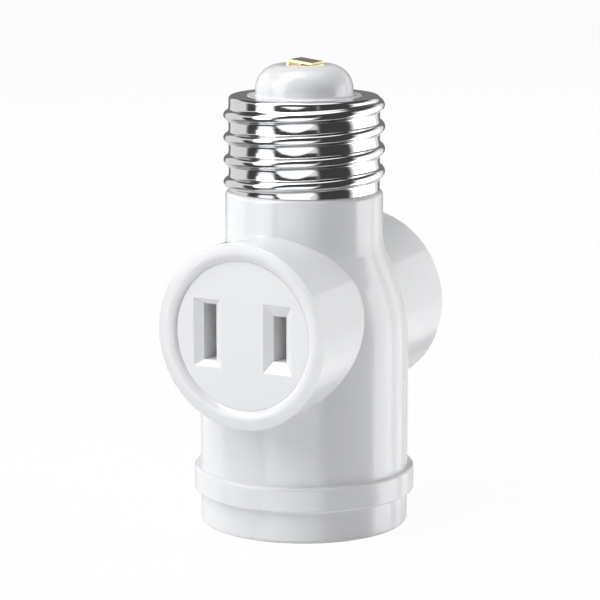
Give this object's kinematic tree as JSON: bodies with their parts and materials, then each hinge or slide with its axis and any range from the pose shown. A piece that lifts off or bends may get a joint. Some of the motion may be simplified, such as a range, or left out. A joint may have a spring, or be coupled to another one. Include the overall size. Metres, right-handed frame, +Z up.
{
  "type": "lamp socket adapter",
  "caption": "Lamp socket adapter: a screw base above, a female lamp socket below and a polarised two-slot outlet on the front and rear bosses.",
  "frame": {"origin": "centre of the mouth rim on which the adapter stands", "axes": "+Z up the screw axis to the tip contact, front outlet towards -Y, hot side towards +X"},
  "size_m": [0.0362, 0.042, 0.0762],
  "materials": {
    "white_moulding": "glossy white moulded plastic",
    "white_face": "satin white moulded plastic",
    "nickel_plate": "polished nickel plate on rolled brass",
    "brass_strip": "rolled brass strip",
    "brass_jaw": "rolled spring brass",
    "brass_rivet": "headed brass wire",
    "block_moulding": "matt white moulded plastic",
    "socket_aluminium": "rolled bright aluminium",
    "leaf_bronze": "rolled spring bronze",
    "contact_nickel": "nickel-plated contact pip",
    "screw_zinc": "zinc-plated steel"
  },
  "bodies": {
    "adapter": {"housing": "white_moulding", "outlet_face_front": "white_face", "outlet_face_rear": "white_face", "base_shell": "nickel_plate", "hot_strip": "brass_strip", "neutral_strip": "brass_strip", "hot_jaw_inner": "brass_jaw", "hot_jaw_outer": "brass_jaw", "neutral_jaw_inner": "brass_jaw", "neutral_jaw_outer": "brass_jaw", "hot_jaw_rivets": "brass_rivet", "neutral_jaw_rivets": "brass_rivet", "contact_block": "block_moulding", "socket_shell": "socket_aluminium", "centre_contact_leaf": "leaf_bronze", "centre_contact_rivet": "brass_rivet", "socket_screws": "screw_zinc"},
    "centre_contact": {"centre_contact_button": "contact_nickel"}
  },
  "joints": [
    {"name": "centre_contact_press", "type": "slide", "parent": "adapter", "child": "centre_contact", "axis": [0, 0, 1], "range_m": [0, 0.0015], "stiffness_N_per_m": 2000, "deforming": ["centre_contact_leaf"]}
  ]
}
